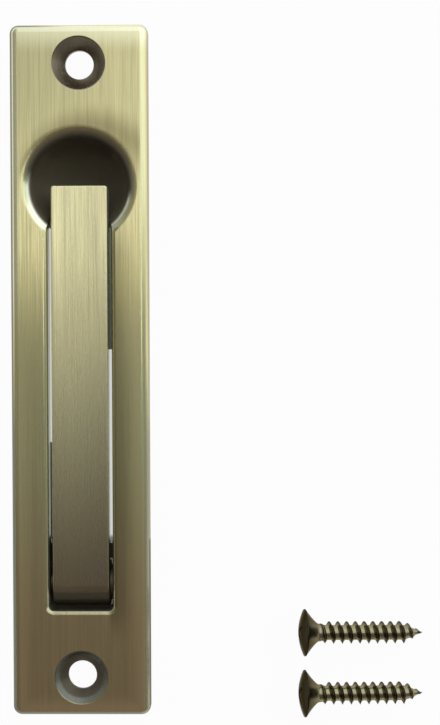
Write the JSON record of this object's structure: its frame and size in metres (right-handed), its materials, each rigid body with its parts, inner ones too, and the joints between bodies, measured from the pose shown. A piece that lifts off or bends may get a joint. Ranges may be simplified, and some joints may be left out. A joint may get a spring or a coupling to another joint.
{
  "type": "pocket door edge pull",
  "caption": "Flush edge pull for a pocket door: slim plate with a finger scoop and a sprung pull arm that swings out of its slot on a hinge pin, with countersunk wood screws.",
  "frame": {"origin": "middle of the plate's back face, half way between the two screw holes, where the plate seats in the door edge", "axes": "+Z out of the door edge, square to the plate's face; +Y along the plate towards the finger scoop; +X to the right seen from the front"},
  "size_m": [0.0751, 0.1264, 0.0091],
  "materials": {
    "plate_brass": "antique brass, brushed lengthwise, darkened in the scoop and countersinks",
    "arm_brass": "antique brass, brushed lengthwise",
    "pin_brass": "drawn, dulled",
    "spring_wire": "bare spring wire",
    "screw_brass": "antique brass plate, worn at the crests"
  },
  "bodies": {
    "plate": {"faceplate": "plate_brass", "hinge_pin": "pin_brass", "return_spring": "spring_wire", "wood_screws": "screw_brass"},
    "arm": {"pull_arm": "arm_brass"}
  },
  "joints": [
    {"name": "arm_hinge", "type": "hinge", "parent": "plate", "child": "arm", "pos_m": [0, -0.0388, -0.0012], "axis": [1, 0, 0], "range_deg": [0, 94], "stiffness_Nm_per_rad": 0.0085, "springref_deg": -20.05, "deforming": ["return_spring"]}
  ]
}
